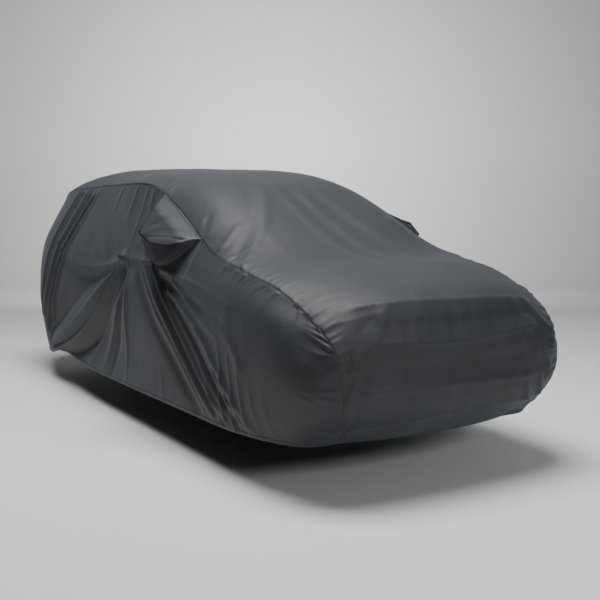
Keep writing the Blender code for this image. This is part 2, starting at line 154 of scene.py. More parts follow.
# Folds of a side panel seen from the side, as (ahead, height): each runs through three points. Height is
# how far it stands out, or in where it is negative; the fades scale it at its two ends.
SIDE_FOLDS = (
    # name, start, middle, end, half width, height, start fade, end fade
    ("quarter crease", (-1.52, 1.12), (-2, 0.69), (-3.16, 0.24), 0.028, 0.04, 0.35, 1),
    ("quarter crease 2", (-1.55, 1.13), (-2.12, 0.76), (-3.08, 0.3), 0.034, 0.03, 0.3, 0.8),
    ("valley between", (-1.62, 1.06), (-2.06, 0.72), (-3.02, 0.29), 0.024, -0.022, 0.2, 0.9),
    ("valley ahead", (-1.5, 1.02), (-1.84, 0.64), (-2.75, 0.25), 0.085, -0.056, 0.3, 0.9),
    ("valley ahead 2", (-1.6, 0.8), (-1.86, 0.54), (-2.4, 0.26), 0.04, 0.014, 0.3, 0.6),
    ("valley behind", (-1.8, 1.06), (-2.32, 0.84), (-3.15, 0.44), 0.1, -0.038, 0.1, 0.9),
    ("valley behind crest", (-2.05, 1), (-2.6, 0.74), (-3.18, 0.44), 0.034, 0.018, 0.1, 0.8),
    ("door fold", (-1.52, 1.1), (-1.7, 0.76), (-2.13, 0.28), 0.05, 0.022, 0.4, 0.5),
    ("door fold 2", (-1.5, 1.08), (-1.6, 0.72), (-1.86, 0.28), 0.042, 0.016, 0.4, 0.5),
    ("door valley", (-1.47, 1.08), (-1.53, 0.72), (-1.68, 0.28), 0.055, -0.022, 0.2, 0.6),
    ("door drop", (-1.46, 1.09), (-1.43, 0.67), (-1.4, 0.27), 0.04, 0.016, 0.6, 0.3),
    ("quarter fold 1", (-2.48, 1.58), (-2.86, 1.02), (-3.22, 0.26), 0.042, 0.02, 0.4, 0.8),
    ("quarter fold 2", (-2.62, 1.52), (-2.99, 1), (-3.3, 0.38), 0.028, 0.016, 0.6, 0.6),
    ("quarter fold 3", (-2.8, 1.58), (-3.07, 1.1), (-3.36, 0.52), 0.036, 0.014, 0.5, 0.8),
    ("quarter fold 4", (-2.9, 1.56), (-3.22, 0.98), (-3.42, 0.46), 0.024, 0.012, 0.7, 0.5),
    ("quarter fold 5", (-3.06, 1.56), (-3.3, 1.14), (-3.5, 0.5), 0.034, 0.013, 0.5, 0.4),
    ("quarter valley 1", (-2.56, 1.52), (-2.93, 1), (-3.27, 0.32), 0.034, -0.018, 0.5, 0.8),
    ("quarter valley 2", (-2.7, 1.55), (-3.03, 1.06), (-3.33, 0.42), 0.026, -0.014, 0.6, 0.5),
    ("quarter valley 3", (-2.96, 1.55), (-3.25, 1.08), (-3.46, 0.48), 0.036, -0.014, 0.5, 0.6),
    ("window fold 1", (-1.27, 1.6), (-1.22, 1.45), (-1.19, 1.26), 0.016, 0.008, 1, 0.2),
    ("window fold 2", (-1.37, 1.62), (-1.33, 1.44), (-1.33, 1.24), 0.024, 0.009, 0.9, 0.2),
    ("window fold 3", (-1.47, 1.62), (-1.46, 1.42), (-1.49, 1.22), 0.018, 0.006, 0.9, 0.2),
    ("window fold 4", (-1.66, 1.62), (-1.67, 1.48), (-1.71, 1.32), 0.03, 0.006, 0.9, 0.1),
    ("window fold 5", (-1.95, 1.62), (-1.99, 1.5), (-2.04, 1.38), 0.024, 0.005, 0.9, 0.1),
    ("window foot rear", (-3.05, 1.14), (-2.27, 1), (-1.52, 1.12), 0.034, 0.014, 0.3, 0.9),
    ("window foot under", (-2.95, 1.04), (-2.25, 0.92), (-1.66, 1.03), 0.06, -0.014, 0.2, 0.8),
    ("window foot front", (-1.52, 1.12), (-1.17, 1.11), (-0.92, 1.09), 0.034, 0.012, 0.9, 0.6),
    ("mirror fold 1", (-1.16, 1.1), (-0.62, 0.7), (-0.03, 0.31), 0.028, 0.024, 0.5, 0.8),
    ("mirror fold 2", (-0.99, 1.08), (-0.43, 0.67), (0.17, 0.29), 0.026, 0.022, 0.6, 0.7),
    ("mirror valley 1", (-1.22, 1), (-0.78, 0.62), (-0.24, 0.31), 0.07, -0.024, 0.3, 0.7),
    ("mirror valley 2", (-1.06, 1.08), (-0.52, 0.68), (0.07, 0.3), 0.028, -0.01, 0.4, 0.8),
    ("mirror valley 3", (-0.88, 1.02), (-0.3, 0.7), (0.26, 0.3), 0.042, -0.015, 0.5, 0.7),
    ("wing shelf", (-0.86, 1.08), (-0.34, 1.02), (0.1, 0.94), 0.03, 0.018, 0.7, 0.2),
    ("wing shelf valley", (-0.8, 1.02), (-0.36, 0.92), (0.02, 0.86), 0.048, -0.022, 0.6, 0.2),
    ("mirror fold 3", (-0.72, 0.96), (-0.16, 0.71), (0.4, 0.29), 0.03, 0.018, 0.6, 0.6),
    ("mirror fold 5", (-1.08, 1.07), (-0.56, 0.7), (0.05, 0.3), 0.013, 0.01, 0.5, 0.8),
    ("mirror fold 6", (-0.9, 1.04), (-0.36, 0.69), (0.24, 0.29), 0.014, 0.01, 0.6, 0.7),
    ("mirror fold 7", (-0.58, 0.86), (-0.1, 0.6), (0.32, 0.31), 0.016, 0.01, 0.4, 0.8),
    ("mirror fold 8", (-1.2, 1.04), (-0.76, 0.7), (-0.16, 0.31), 0.014, 0.01, 0.5, 0.8),
    ("mirror fold 4", (-0.66, 1.02), (-0.3, 0.87), (0.02, 0.76), 0.028, 0.016, 0.6, 0.2),
    ("arch", (-0.28, 0.78), (0.06, 0.81), (0.29, 0.64), 0.05, 0.018, 0.2, 0.3),
    ("hem fan 1", (0.08, 0.27), (-0.04, 0.42), (-0.22, 0.62), 0.017, 0.012, 1, 0.1),
    ("hem fan 2", (0.15, 0.27), (0.05, 0.45), (-0.1, 0.7), 0.015, 0.011, 1, 0.1),
    ("hem fan 3", (0.22, 0.27), (0.14, 0.46), (0.02, 0.74), 0.02, 0.013, 1, 0.1),
    ("hem fan 4", (0.29, 0.27), (0.23, 0.45), (0.14, 0.72), 0.016, 0.01, 1, 0.1),
    ("hem fan 5", (0.36, 0.27), (0.32, 0.42), (0.26, 0.66), 0.019, 0.01, 1, 0.1),
    ("hem fan 6", (0.44, 0.27), (0.42, 0.4), (0.38, 0.6), 0.016, 0.008, 1, 0.1),
    ("hem fan 7", (0.52, 0.27), (0.52, 0.4), (0.5, 0.56), 0.018, 0.008, 1, 0.1),
    ("sill fold 1", (-1.66, 0.25), (-1.62, 0.36), (-1.6, 0.5), 0.02, 0.007, 1, 0.1),
    ("sill fold 2", (-0.74, 0.26), (-0.8, 0.36), (-0.84, 0.46), 0.024, 0.007, 1, 0.1),
)

# Folds of the centre panel, seen along the cloth: (along, across), where along runs from the front hem
# over the middle line, and across is towards the car's left.
TOP_FOLDS = (
    # name, start, middle, end, half width, height, start fade, end fade
    ("bonnet lip", (0.9, -0.58), (0.87, 0), (0.86, 0.56), 0.03, 0.012, 0.6, 0.4),
    ("grille shelf", (0.68, -0.52), (0.65, 0), (0.7, 0.54), 0.03, 0.012, 0.6, 0.4),
    ("grille hollow", (0.77, -0.5), (0.75, 0), (0.78, 0.54), 0.045, -0.014, 0.5, 0.5),
    ("bumper shelf", (0.41, -0.6), (0.42, 0), (0.4, 0.54), 0.028, 0.011, 0.6, 0.4),
    ("bumper hollow", (0.53, -0.54), (0.53, 0), (0.53, 0.5), 0.065, -0.012, 0.5, 0.3),
    ("bumper foot", (0.18, -0.62), (0.25, -0.1), (0.25, 0.58), 0.024, 0.01, 0.6, 0.6),
    ("near corner 1", (0.68, -0.51), (0.52, -0.58), (0.22, -0.62), 0.026, -0.016, 0.4, 0.5),
    ("near corner 2", (0.82, -0.54), (0.72, -0.63), (0.53, -0.7), 0.022, -0.013, 0.4, 0.6),
    ("near corner 3", (0.54, -0.59), (0.44, -0.66), (0.34, -0.7), 0.018, 0.01, 0.4, 0.6),
    ("far corner 1", (0.66, 0.31), (0.46, 0.43), (0.26, 0.53), 0.022, 0.012, 0.3, 0.9),
    ("far corner 2", (0.7, 0.42), (0.47, 0.55), (0.27, 0.65), 0.022, 0.012, 0.3, 0.9),
    ("far corner 3", (0.74, 0.52), (0.52, 0.64), (0.3, 0.71), 0.02, 0.01, 0.3, 0.9),
    ("far corner 4", (0.87, 0.5), (0.77, 0.61), (0.64, 0.71), 0.022, 0.012, 0.3, 0.9),
    ("fascia drop 1", (0.64, -0.31), (0.48, -0.31), (0.32, -0.3), 0.032, 0.007, 0.4, 0.4),
    ("fascia drop 2", (0.64, -0.2), (0.48, -0.19), (0.3, -0.18), 0.03, 0.004, 0.4, 0.4),
    ("fascia drop 3", (0.64, -0.14), (0.46, -0.12), (0.28, -0.1), 0.03, 0.007, 0.4, 0.4),
    ("fascia drop 4", (0.63, -0.04), (0.46, -0.02), (0.26, 0), 0.03, 0.005, 0.4, 0.4),
    ("fascia drop 5", (0.62, 0.06), (0.46, 0.09), (0.28, 0.12), 0.03, 0.004, 0.4, 0.4),
    ("fascia drop 6", (0.62, -0.42), (0.46, -0.45), (0.26, -0.48), 0.032, 0.007, 0.4, 0.4),
    ("lip drop 1", (0.86, 0.4), (0.76, 0.46), (0.68, 0.5), 0.03, 0.008, 0.7, 0.7),
    ("lip drop 2", (0.86, -0.44), (0.76, -0.5), (0.66, -0.56), 0.03, 0.01, 0.7, 0.7),
    ("fascia drop 7", (0.62, 0.17), (0.45, 0.22), (0.26, 0.27), 0.03, 0.005, 0.4, 0.4),
    ("fascia drop 8", (0.4, -0.24), (0.3, -0.24), (0.14, -0.23), 0.03, 0.004, 0.4, 0.4),
    ("fascia drop 9", (0.38, -0.08), (0.28, -0.07), (0.12, -0.05), 0.032, 0.004, 0.4, 0.4),
    ("lip drop 3", (0.84, -0.26), (0.77, -0.27), (0.69, -0.28), 0.03, 0.005, 0.7, 0.7),
    ("lip drop 4", (0.84, 0.02), (0.77, 0.03), (0.69, 0.05), 0.03, 0.005, 0.7, 0.7),
    ("windscreen 1", (2.74, -0.09), (2.05, -0.15), (1.45, 0), 0.023, 0.016, 0.4, 0.3),
    ("windscreen 2", (2.55, 0), (2.05, 0.03), (1.5, 0.12), 0.019, 0.014, 0.4, 0.3),
    ("windscreen 3", (2.64, 0.18), (2.15, 0.22), (1.66, 0.38), 0.021, 0.015, 0.4, 0.3),
    ("windscreen 4", (2.72, 0.38), (2.4, 0.43), (2.05, 0.54), 0.019, 0.015, 0.4, 0.4),
    ("windscreen valley 1", (2.62, -0.03), (2.05, -0.06), (1.5, 0.06), 0.04, -0.012, 0.3, 0.3),
    ("windscreen valley 2", (2.6, 0.09), (2.1, 0.13), (1.6, 0.28), 0.04, -0.012, 0.3, 0.3),
    ("windscreen valley 3", (2.7, 0.29), (2.3, 0.33), (1.9, 0.46), 0.04, -0.012, 0.3, 0.3),
    ("pillar sweep", (2.74, -0.22), (2.12, -0.48), (1.72, -0.8), 0.038, 0.014, 0.3, 0.6),
    ("pillar sweep valley", (2.7, -0.33), (2.22, -0.52), (1.86, -0.78), 0.034, -0.012, 0.3, 0.5),
    ("bonnet corner", (2.19, -0.61), (2.12, -0.68), (2.05, -0.76), 0.022, 0.009, 0.6, 0.6),
    ("pillar pinch", (2.48, -0.68), (2.42, -0.71), (2.34, -0.75), 0.016, -0.008, 0.6, 0.6),
)

# Folds of a mirror pocket, in the same terms as SIDE_FOLDS.
POCKET_FOLDS = (
    # name, start, middle, end, half width, height, start fade, end fade
    ("crest", (-0.81, 1.33), (-0.98, 1.43), (-1.15, 1.525), 0.01, 0.008, 1, 0.6),
    ("second crest", (-0.8, 1.335), (-0.83, 1.385), (-0.86, 1.42), 0.012, 0.014, 1, 0.5),
    ("second hollow", (-0.84, 1.36), (-0.9, 1.405), (-0.94, 1.43), 0.018, -0.01, 0.6, 0.6),
    ("brow", (-0.72, 1.33), (-0.66, 1.325), (-0.6, 1.3), 0.012, 0.01, 0.5, 0.8),
    ("brow hollow", (-0.72, 1.3), (-0.65, 1.298), (-0.59, 1.28), 0.01, -0.008, 0.5, 0.8),
    ("under wrinkle", (-0.9, 1.185), (-0.83, 1.2), (-0.74, 1.205), 0.007, 0.01, 0.6, 0.6),
    ("under wrinkle 2", (-0.86, 1.215), (-0.8, 1.222), (-0.72, 1.22), 0.006, 0.007, 0.6, 0.6),
)


# How far from its edges a panel's folds die out, in metres.
SIDE_EDGE = 0.03
CENTRE_EDGE = 0.022
ROW_RUN = 0.9              # metres from hem to seam that a whole row share is taken as
HELD_BY_HEM = 0.25         # share of its swing that the hem's elastic leaves the cloth at the hem
FREE_FROM = 0.22           # share of the height from which the elastic no longer holds it
TENT_FADE = 6              # the side's folds are gone where the tent stands out by one part in this
TENT_SOFTNESS = 28         # how tightly the cloth bends over a pole: more is sharper
TENT_SINK = 0.02           # how far it is let in all over after that, as a share of MIRROR_REACH
CRUMPLE_WAVES = 14

# Gathers sewn in along the seams: how many between two places, in metres. The places are along the seam
# from its front end, heights for the side panel's front seam, and along the middle line for the centre.
SIDE_GATHERS = (
    # runs along, first, last, count, seed, share of full depth
    ("top seam", 0.0, 1.0, 22, 7, 0.8),
    ("front seam", 0.30, 0.90, 17, 9, 1.3),
)
CENTRE_GATHERS = (
    # first, last, count, right seed, left seed, share of full depth
    (0.14, 2.0, 38, 5, 6, 1.0),
    (2.0, 3.6, 16, 15, 16, 0.5),
)


# ---- settings -------------------------------------------------------------------------------------
def length(name, text, default, low, high):
    return FloatProperty(name=name, description=text, default=default, min=low, max=high, unit="LENGTH")


def count(name, text, default, low, high):
    return IntProperty(name=name, description=text, default=default, min=low, max=high)


def share(name, text, default, low, high):
    return FloatProperty(name=name, description=text, default=default, min=low, max=high)


def colour(name, text, default):
    return FloatVectorProperty(name=name, description=text, default=default, min=0, max=1, subtype="COLOR")


class ClothSettings(bpy.types.PropertyGroup):
    thickness: length("Cloth thickness", "Thickness of the sheet", 0.0016, 0.0005, 0.003)
    sections: count("Sections", "Sections along a side panel", 400, 60, 460)
    rows: count("Rows", "Rows from the hem to the seam of a side panel", 88, 20, 100)
    across: count("Columns", "Columns across the centre panel", 64, 16, 80)
    folds: share("Fold depth", "How deep the main folds are, 1 being as the tables say", 1.5, 0, 3)
    crumple: length("Crumple", "Depth of the small uneven folds all over", 0.0060, 0, 0.02)
    colour: colour("Cloth colour", "Colour of the woven cloth", (0.0215, 0.0243, 0.0288))
    thread: colour("Thread colour", "Colour of the sewing thread", (0.085, 0.092, 0.102))


class SeamSettings(bpy.types.PropertyGroup):
    seam_width: length("Seam width", "Width of the felled seams", 0.008, 0.004, 0.03)
    seam_rise: length("Seam rise", "How far a felled seam stands out of the cloth", 0.0009, 0.0002, 0.005)
    hem_height: length("Hem height", "Height of the turned hem with its elastic", 0.024, 0.01, 0.06)
    stitch_pitch: length("Stitch pitch", "Distance from one stitch to the next", 0.0060, 0.002, 0.02)
    stitch_radius: length("Thread radius", "Radius of the sewing thread", 0.0006, 0.0001, 0.002)


class StageSettings(bpy.types.PropertyGroup):
    lens: FloatProperty(
        name="Lens", description="Focal length of the camera", default=56.29, min=10, max=200, unit="CAMERA",
    )
    turn: share("Backdrop turn", "Which way the backdrop lies, in degrees from +X", 148.5, -180, 180)
    light: share("Light", "Strength of the studio light", 1.0, 0, 10)


# ---- curves, folds and crumple --------------------------------------------------------------------
def through(points, at, where):
    """A smooth curve that passes each point at its own parameter, read at every value in where."""
    points, at, where = np.asarray(points, float), np.asarray(at, float), np.asarray(where, float)
    slope = np.empty_like(points)
    slope[1:-1] = (points[2:] - points[:-2]) / (at[2:] - at[:-2])[:, None]
    slope[0] = (points[1] - points[0]) / (at[1] - at[0])
    slope[-1] = (points[-1] - points[-2]) / (at[-1] - at[-2])
    bay = np.clip(np.searchsorted(at, where, side="right") - 1, 0, len(at) - 2)
    step = (at[bay + 1] - at[bay])[:, None]
    t = (where[:, None] - at[bay][:, None]) / step
    return (
        (1 + 2 * t) * (1 - t) ** 2 * points[bay]
        + t * (1 - t) ** 2 * step * slope[bay]
        + t**2 * (3 - 2 * t) * points[bay + 1]
        + t**2 * (t - 1) * step * slope[bay + 1]
    )


def unit(vectors):
    return vectors / np.maximum(np.linalg.norm(vectors, axis=-1, keepdims=True), 1e-12)


def run_along(line):
    """How far along the line each of its points lies."""
    return np.concatenate([[0], np.cumsum(np.linalg.norm(np.diff(line, axis=0), axis=1))])


def fold_height(folds, a, b):
    """Sum of a table's folds at each place (a, b): rounded crests that fall off with sharper shoulders."""
    total = np.zeros_like(a)
    for _, start, middle, end, half_width, height, first, last in folds:
        run = math.dist(start, end)
        ta, tb = (end[0] - start[0]) / run, (end[1] - start[1]) / run
        at = ((middle[0] - start[0]) * ta + (middle[1] - start[1]) * tb) / run
        bow = (-(middle[0] - start[0]) * tb + (middle[1] - start[1]) * ta) / (at * (1 - at))
        along = ((a - start[0]) * ta + (b - start[1]) * tb) / run
        inside = np.clip(along, 0, 1)
        off = -(a - start[0]) * tb + (b - start[1]) * ta - bow * inside * (1 - inside)
        beyond = (along - inside) * run
        far = np.sqrt(off**2 + beyond**2) / half_width
        crest = 1 / np.cosh(np.minimum(1.9 * far, 30)) ** 1.2
        total += height * (first + (last - first) * inside) * crest
    return total


def crumple(a, b, size, seed):
    """Uneven soft folds: a creased field made of seeded waves, a little above 0 on average."""
    draw = np.random.default_rng(seed)
    smooth = np.zeros_like(a)
    for _ in range(CRUMPLE_WAVES):
        turn, phase = draw.uniform(0, math.pi), draw.uniform(0, 2 * math.pi)
        wave = size * draw.uniform(0.7, 1.8)
        smooth += np.sin((a * math.cos(turn) + b * math.sin(turn)) * 2 * math.pi / wave + phase)
    smooth /= math.sqrt(CRUMPLE_WAVES)
    return np.exp(-np.sqrt(smooth**2 + 0.02) * 1.6) - 0.42


def stretched_over(poles):
    """The planes of cloth pulled tight over the poles: at any place the lowest of them is the cloth."""
    tops = np.array([row[1:] for row in poles])
    spots = np.column_stack([tops[:, :2], np.ones(len(tops))])
    planes = []
    for three in itertools.combinations(range(len(tops)), 3):
        three = list(three)
        if abs(np.linalg.det(spots[three])) > 1e-7:
            plane = np.linalg.solve(spots[three], tops[three, 2])
            if (spots @ plane >= tops[:, 2] - 1e-6).all():
                planes.append(plane)
    return np.array(planes)


def mirror_share(ahead, height):
    """How far out over the mirror the cloth is, from 0 on the side to 1 at the tip of its tent."""
    planes = stretched_over(MIRROR_POLES)
    levels = ahead[..., None] * planes[:, 0] + height[..., None] * planes[:, 1] + planes[:, 2]
    lowest = levels.min(-1, keepdims=True)
    weight = np.exp(np.maximum(lowest - levels, -1) * TENT_SOFTNESS)
    share = (levels * weight).sum(-1) / weight.sum(-1) - TENT_SINK
    return np.clip(np.minimum(share, lowest[..., 0]), 0, 1)


def eased(values):
    """0 up to 0 and 1 from 1 on, with a soft start and end between."""
    values = np.clip(values, 0, 1)
    return values * values * (3 - 2 * values)


def held_in(rows):
    """How far the hem's elastic lets the cloth swing, at each share of its height."""
    return HELD_BY_HEM + (1 - HELD_BY_HEM) * np.clip(rows / FREE_FROM, 0, 1)


def car_to_part(points):
    return points - np.array([SEAT_AHEAD, 0.0, SEAT_HEIGHT])


def grid_normals(grid, toward):
    normals = unit(np.cross(np.gradient(grid, axis=0), np.gradient(grid, axis=1)))
    middle = normals[grid.shape[0] // 2, grid.shape[1] // 2]
    return normals if middle @ np.asarray(toward, float) > 0 else -normals


# ---- the pattern's surfaces -----------------------------------------------------------------------
def section_stops():
    """Where each section of the table lies along the seam, in metres."""
    return run_along(np.array([row[5] for row in SIDE_SECTIONS]))


def section_at(count):
    """Where the pattern's section with this count lies along the seam, in metres."""
    stops, counts = section_stops(), np.concatenate([[0], np.cumsum(SECTION_CELLS)])
    return float(np.interp(count, counts, stops))


def side_surface(sections, rows):
    """Right side of the cover before its folds, at each section (metres along the seam) and row (0 to 1)."""
    rails = np.array([row[1:] for row in SIDE_SECTIONS])
    along = np.stack([through(rails[:, k], section_stops(), sections) for k in range(5)], axis=1)
    grid = np.stack([through(section, RAIL_AT, rows) for section in along])
    grid[..., 1] *= -1
    return grid


def worn_side(sections, rows, depth, crumple_depth):
    """Right side of the cover as worn, with its folds and the tent over the mirror."""
    plain = side_surface(sections, rows)
    normals = grid_normals(plain, (0, -1, 0))
    ahead, height = plain[..., 0], plain[..., 2]
    from_front = np.repeat(sections[:, None], len(rows), 1)
    from_top = np.repeat(((1 - rows) * ROW_RUN)[None, :], len(sections), 0)
    from_rear = section_stops()[-1] - from_front
    edge = eased(np.minimum.reduce([from_top, from_front, from_rear]) / SIDE_EDGE)
    lift = depth * fold_height(SIDE_FOLDS, ahead, height)
    broad = crumple(ahead, height * 0.8, 0.70, 11)
    fine = crumple(ahead, height, 0.30, 12)
    lift += crumple_depth * (broad + 0.25 * fine)
    share = mirror_share(ahead, height)
    tent = np.clip(share * TENT_FADE, 0, 1)
    lift *= (1 - tent) * held_in(rows)[None, :]
    runs = {"top seam": (from_front, from_top), "front seam": (height, from_front)}
    for run, first, last, gathers, seed, part in SIDE_GATHERS:
        lift += part * puckers(*runs[run], first, last, gathers, seed)
    out = plain + normals * (lift * edge)[..., None]
    out[..., 1] -= (MIRROR_REACH + plain[..., 1]) * share
    creases = fold_height(POCKET_FOLDS, ahead, height) * tent * edge
    return out + grid_normals(out, (0, -1, 0)) * creases[..., None]


def centre_stops():
    """The centre line's table rows against the seam's own parameter: front edge, top edge, rear edge."""
    front = np.array(RAIL_AT)
    top = 1 + section_stops()[1:]
    rear = top[-1] + 1 - np.array(RAIL_AT[-2::-1])
    return np.concatenate([front, top, rear])


def centre_parameters(sections, rows):
    top = 1 + sections
    return np.concatenate([rows[:-1], top, top[-1] + 1 - rows[-2::-1]])


def seam_line(side):
    return np.concatenate([side[0, :-1], side[:, -1], side[-1, -2::-1]])


def worn_centre(sections, rows, share, depth, crumple_depth):
    """Centre panel as worn: stations from the front hem to the rear hem, and columns from right to left."""
    seam = seam_line(side_surface(sections, rows))
    table = np.array([row[1:] for row in CENTRE_LINE])
    middle = through(table, centre_stops(), centre_parameters(sections, rows))
    bulge = np.abs(share)[None, :] ** middle[:, 2:3]
    plain = np.empty((len(seam), len(share), 3))
    plain[..., 0] = middle[:, 0:1] + (seam[:, 0:1] - middle[:, 0:1]) * bulge
    plain[..., 1] = np.abs(seam[:, 1:2]) * share[None, :]
    plain[..., 2] = middle[:, 1:2] + (seam[:, 2:3] - middle[:, 1:2]) * bulge
    normals = grid_normals(plain, (0, 0, 1))
    along = np.repeat(run_along(middle[:, :2])[:, None], len(share), 1)
    across = plain[..., 1]
    inward = np.abs(seam[:, 1:2]) - np.abs(across)
    edge = eased(inward / CENTRE_EDGE)
    lift = depth * fold_height(TOP_FOLDS, along, across)
    for first, last, gathers, right, left, part in CENTRE_GATHERS:
        on_right = puckers(along, inward, first, last, gathers, right)
        on_left = puckers(along, inward, first, last, gathers, left)
        lift += part * np.where(across < 0, on_right, on_left)
    broad = crumple(along * 0.8, across, 0.70, 21)
    fine = crumple(along, across, 0.30, 22)
    lift += crumple_depth * (broad + 0.20 * fine)
    held = held_in(np.concatenate([rows[:-1], np.ones(len(sections)), rows[-2::-1]]))
    return plain + normals * (lift * edge * held[:, None])[..., None]


def puckers(along, inward, first, last, count, seed):
    """Short gathers that run in from a seam: along and inward are metres along the seam and away from it."""
    draw = np.random.default_rng(seed)
    total = np.zeros_like(along)
    pitch = (last - first) / count
    for k in range(count):
        at = first + pitch * (k + draw.uniform(0.1, 0.9))
        depth = draw.uniform(0.002, 0.0085)
        reach = draw.uniform(0.045, 0.15)
        slant = draw.uniform(-0.05, 0.65)
        off = (along - at - slant * inward) / draw.uniform(0.009, 0.016)
        total += depth * np.exp(-(off**2)) * np.exp(-((inward / reach) ** 2))
    return total


# ---- making pieces --------------------------------------------------------------------------------
def grid_mesh(name, grid, keep=None, uv=None):
    """An open sheet from a grid of points, with a UV map in metres that follows the cloth."""
    count = grid.shape[0] * grid.shape[1]
    index = np.arange(count).reshape(grid.shape[:2])
    rings = np.stack([index[:-1, :-1], index[1:, :-1], index[1:, 1:], index[:-1, 1:]], axis=-1)
    rings = rings[keep] if keep is not None else rings.reshape(-1, 4)
    used, faces = np.unique(rings, return_inverse=True)
    mesh = bpy.data.meshes.new(name)
    mesh.from_pydata(grid.reshape(-1, 3)[used], [], faces.reshape(-1, 4).tolist())
    if uv is not None:
        layer = mesh.uv_layers.new(name="cloth")
        layer.data.foreach_set("uv", uv.reshape(-1, 2)[rings.reshape(-1)].ravel().astype(np.float32))
    mesh.shade_smooth()
    return mesh


def cloth_uv(grid):
    """Arc lengths along and across the middle of a grid, so that the weave keeps its real size."""
    rows, columns = grid.shape[0] // 2, grid.shape[1] // 2
    u, v = run_along(grid[:, columns]), run_along(grid[rows])
    return np.stack(np.meshgrid(u, v, indexing="ij"), axis=-1)


def add_object(name, mesh, material):
    obj = bpy.data.objects.new(name, mesh)
    if material is not None:
        mesh.materials.append(material)
    bpy.context.scene.collection.objects.link(obj)
    return obj


def bake(obj):
    """The object's evaluated shape as its own plain mesh."""
    graph = bpy.context.evaluated_depsgraph_get()
    worn = obj.evaluated_get(graph)
    mesh = bpy.data.meshes.new_from_object(worn, preserve_all_data_layers=True, depsgraph=graph)
    obj.modifiers.clear()
    obj.data = mesh
    return obj


def finish_piece(obj):
    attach(obj, "root")
    return obj


def share_columns(count):
    """Columns from -1 to 1, closer together towards the seams."""
    even = np.linspace(-1, 1, count + 1)
    return np.sign(even) * (1 - (1 - np.abs(even)) ** 1.25)


def row_shares(count):
    even = np.linspace(0, 1, count + 1)
    return 1 - (1 - even) ** 1.12


def section_samples(count):
    return np.linspace(0, section_stops()[-1], count + 1)


def mirrored(points):
    return points * np.array([1.0, -1.0, 1.0])


# ---- materials ------------------------------------------------------------------------------------
# Metres over which painted shade sets in over the mirror's tent, darkening its cloth and taking away most of
# its shine: out from the middle, plus a fifth of the height above the origin.
TENT_SHADE_SPAN = 0.775, 0.820
# Metres ahead of the origin over which the hanging folds at the nose set in.
NOSE = 2.42, 2.53


class Nodes:
    """Adds nodes to a material's tree and joins them."""

    def __init__(self, material):
        material.use_nodes = True
        self.tree = material.node_tree
        self.shader = self.tree.nodes["Principled BSDF"]

    def add(self, kind, settings=None, **inputs):
        node = self.tree.nodes.new(kind)
        for key, value in (settings or {}).items():
            setattr(node, key, value)
        for key, value in inputs.items():
            numbered = key[0] == "i" and key[1:].isdigit()
            socket = node.inputs[int(key[1:])] if numbered else node.inputs[key]
            if isinstance(value, bpy.types.NodeSocket):
                self.tree.links.new(value, socket)
            else:
                socket.default_value = value
        return node

    def join(self, output, socket):
        self.tree.links.new(output, socket)


def noise(nodes, place, scale, detail, roughness=0.5, distortion=0.0):
    look = {"Scale": scale, "Detail": detail, "Roughness": roughness, "Distortion": distortion}
    return nodes.add("ShaderNodeTexNoise", Vector=place, **look).outputs["Fac"]


def between(nodes, value, low, high, first=0.0, last=1.0):
    """Value, taken from first..last to low..high."""
    return nodes.add("ShaderNodeMapRange", Value=value, i1=first, i2=last, i3=low, i4=high).outputs[0]


def bump(nodes, height, strength, distance, **under):
    node = nodes.add("ShaderNodeBump", Height=height, Strength=strength, Distance=distance, **under)
    return node.outputs["Normal"]


def multiplied(nodes, amount, tone, by):
    kind = {"data_type": "RGBA", "blend_type": "MULTIPLY"}
    return nodes.add("ShaderNodeMix", kind, i0=amount, i6=tone, i7=by).outputs[2]


def yarns(nodes, place, way):
    kind = {"bands_direction": way, "wave_profile": "SIN"}
    node = nodes.add("ShaderNodeTexWave", kind, Vector=place, Scale=260.0, Distortion=0.4, Detail=1.0)
    return node.outputs["Fac"]


def shades(colour, *shares):
    return [tuple(c * share for c in colour) for share in shares]


def ramp(nodes, value, stops):
    node = nodes.add("ShaderNodeValToRGB", Fac=value)
    for element, (at, grey) in zip(node.color_ramp.elements, stops):
        element.position = at
        element.color = (*grey, 1) if hasattr(grey, "__len__") else (grey, grey, grey, 1)
    return node.outputs["Color"]


